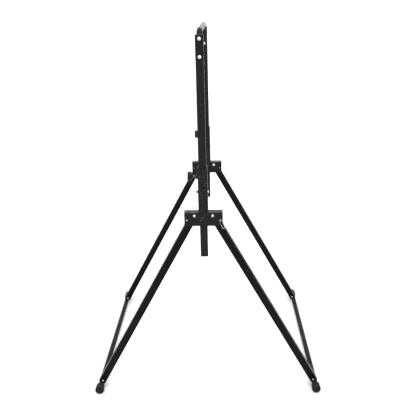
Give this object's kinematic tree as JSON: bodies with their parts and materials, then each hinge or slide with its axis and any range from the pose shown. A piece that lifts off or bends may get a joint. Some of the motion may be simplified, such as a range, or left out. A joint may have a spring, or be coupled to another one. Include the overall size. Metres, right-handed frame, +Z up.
{
  "type": "folding instrument stand",
  "caption": "Folding floor stand of black square tube: raisable masts joined by a round hanging bar, splayed hinged legs, round floor tubes with rubber caps, clamp knobs and pull pins.",
  "frame": {"origin": "on the floor, midway between the four feet", "axes": "+X from the left mast to the right mast, -Y towards the front where the clamp knobs are, +Z up"},
  "size_m": [0.705, 0.8112, 1.248],
  "materials": {
    "frame_black": "satin black powder coat",
    "hoop_black": "glossy black paint on bent tube",
    "zinc": "bright zinc plating",
    "ring_wire": "drawn wire with a light brown tarnish",
    "dark_steel": "oiled, darkened steel",
    "rubber": "moulded matte rubber",
    "black_nylon": "moulded nylon, slightly grained",
    "knob_plastic": "moulded knob with a fine grain"
  },
  "bodies": {
    "uprights": {"sleeve_left": "frame_black", "sleeve_top_bushing_left": "black_nylon", "sleeve_guide_bushing_left": "black_nylon", "guide_screw_left": "zinc", "guide_set_screw_left": "dark_steel", "clamp_boss_left": "frame_black", "hinge_bracket_front_left": "frame_black", "pivot_bolt_front_left": "zinc", "hinge_bracket_rear_left": "frame_black", "pivot_bolt_rear_left": "zinc", "sleeve_right": "frame_black", "sleeve_top_bushing_right": "black_nylon", "sleeve_guide_bushing_right": "black_nylon", "guide_screw_right": "zinc", "guide_set_screw_right": "dark_steel", "clamp_boss_right": "frame_black", "hinge_bracket_front_right": "frame_black", "pivot_bolt_front_right": "zinc", "hinge_bracket_rear_right": "frame_black", "pivot_bolt_rear_right": "zinc", "pivot_lock_nuts": "zinc"},
    "upper_frame": {"hoop": "hoop_black", "hoop_end_plugs": "black_nylon", "hoop_saddles": "black_nylon", "hoop_bolts": "zinc", "hoop_nuts": "zinc", "mast_left": "frame_black", "mast_top_cap_left": "black_nylon", "mast_bottom_plug_left": "black_nylon", "hoop_plate_left": "frame_black", "mast_right": "frame_black", "mast_top_cap_right": "black_nylon", "mast_bottom_plug_right": "black_nylon", "hoop_plate_right": "frame_black"},
    "front_legs": {"front_floor_tube": "frame_black", "front_pivot_bushes": "zinc", "front_foot_plugs": "black_nylon", "front_foot_rivets": "zinc", "front_leg_left": "frame_black", "front_floor_cap_left": "rubber", "front_leg_right": "frame_black", "front_floor_cap_right": "rubber"},
    "rear_legs": {"rear_floor_tube": "frame_black", "rear_pivot_bushes": "zinc", "rear_foot_plugs": "black_nylon", "rear_foot_rivets": "zinc", "rear_leg_left": "frame_black", "rear_floor_cap_left": "rubber", "rear_leg_right": "frame_black", "rear_floor_cap_right": "rubber"},
    "clamp_stud_left_body": {"clamp_stud_left": "dark_steel"},
    "clamp_knob_left_body": {"clamp_knob_left": "knob_plastic"},
    "lock_pin_front_left_body": {"lock_pin_front_left": "zinc"},
    "lock_pin_rear_left_body": {"lock_pin_rear_left": "zinc"},
    "pull_ring_rear_left_body": {"pull_ring_rear_left": "ring_wire"},
    "clamp_stud_right_body": {"clamp_stud_right": "dark_steel"},
    "clamp_knob_right_body": {"clamp_knob_right": "knob_plastic"},
    "lock_pin_front_right_body": {"lock_pin_front_right": "zinc"},
    "lock_pin_rear_right_body": {"lock_pin_rear_right": "zinc"},
    "pull_ring_rear_right_body": {"pull_ring_rear_right": "ring_wire"}
  },
  "joints": [
    {"name": "height_slide", "type": "slide", "parent": "uprights", "child": "upper_frame", "axis": [0, 0, 1], "range_m": [-0.3, 0.12]},
    {"name": "front_legs_fold", "type": "hinge", "parent": "uprights", "child": "front_legs", "pos_m": [0, -0.0294, 0.672], "axis": [1, 0, 0], "range_deg": [0, 28.5]},
    {"name": "rear_legs_fold", "type": "hinge", "parent": "uprights", "child": "rear_legs", "pos_m": [0, 0.0294, 0.672], "axis": [-1, 0, 0], "range_deg": [0, 28.5]},
    {"name": "clamp_screw_travel_left", "type": "slide", "parent": "uprights", "child": "clamp_stud_left_body", "axis": [0, -1, 0], "range_m": [0, 0.00251]},
    {"name": "clamp_knob_turn_left", "type": "hinge", "parent": "clamp_stud_left_body", "child": "clamp_knob_left_body", "pos_m": [-0.2975, -0.04, 0.801], "axis": [0, -1, 0], "range_deg": [0, 720]},
    {"name": "lock_pin_pull_front_left", "type": "slide", "parent": "uprights", "child": "lock_pin_front_left_body", "axis": [-1, 0, 0], "range_m": [0, 0.0335]},
    {"name": "lock_pin_pull_rear_left", "type": "slide", "parent": "uprights", "child": "lock_pin_rear_left_body", "axis": [-1, 0, 0], "range_m": [0, 0.0335]},
    {"name": "pull_ring_swing_rear_left", "type": "hinge", "parent": "lock_pin_rear_left_body", "child": "pull_ring_rear_left_body", "pos_m": [-0.3183, 0.05441, 0.65721], "axis": [0, 1, 0], "range_deg": [-12, 90]},
    {"name": "clamp_screw_travel_right", "type": "slide", "parent": "uprights", "child": "clamp_stud_right_body", "axis": [0, -1, 0], "range_m": [0, 0.00251]},
    {"name": "clamp_knob_turn_right", "type": "hinge", "parent": "clamp_stud_right_body", "child": "clamp_knob_right_body", "pos_m": [0.2975, -0.04, 0.801], "axis": [0, -1, 0], "range_deg": [0, 720]},
    {"name": "lock_pin_pull_front_right", "type": "slide", "parent": "uprights", "child": "lock_pin_front_right_body", "axis": [1, 0, 0], "range_m": [0, 0.0335]},
    {"name": "lock_pin_pull_rear_right", "type": "slide", "parent": "uprights", "child": "lock_pin_rear_right_body", "axis": [1, 0, 0], "range_m": [0, 0.0335]},
    {"name": "pull_ring_swing_rear_right", "type": "hinge", "parent": "lock_pin_rear_right_body", "child": "pull_ring_rear_right_body", "pos_m": [0.3183, 0.05441, 0.65721], "axis": [0, -0.9135, -0.4067], "range_deg": [-12, 90]}
  ],
  "couplings": [
    {"joint": "clamp_screw_travel_left", "follows": "clamp_knob_turn_left", "m_per_rad": 0.00019894},
    {"joint": "clamp_screw_travel_right", "follows": "clamp_knob_turn_right", "m_per_rad": 0.00019894}
  ]
}
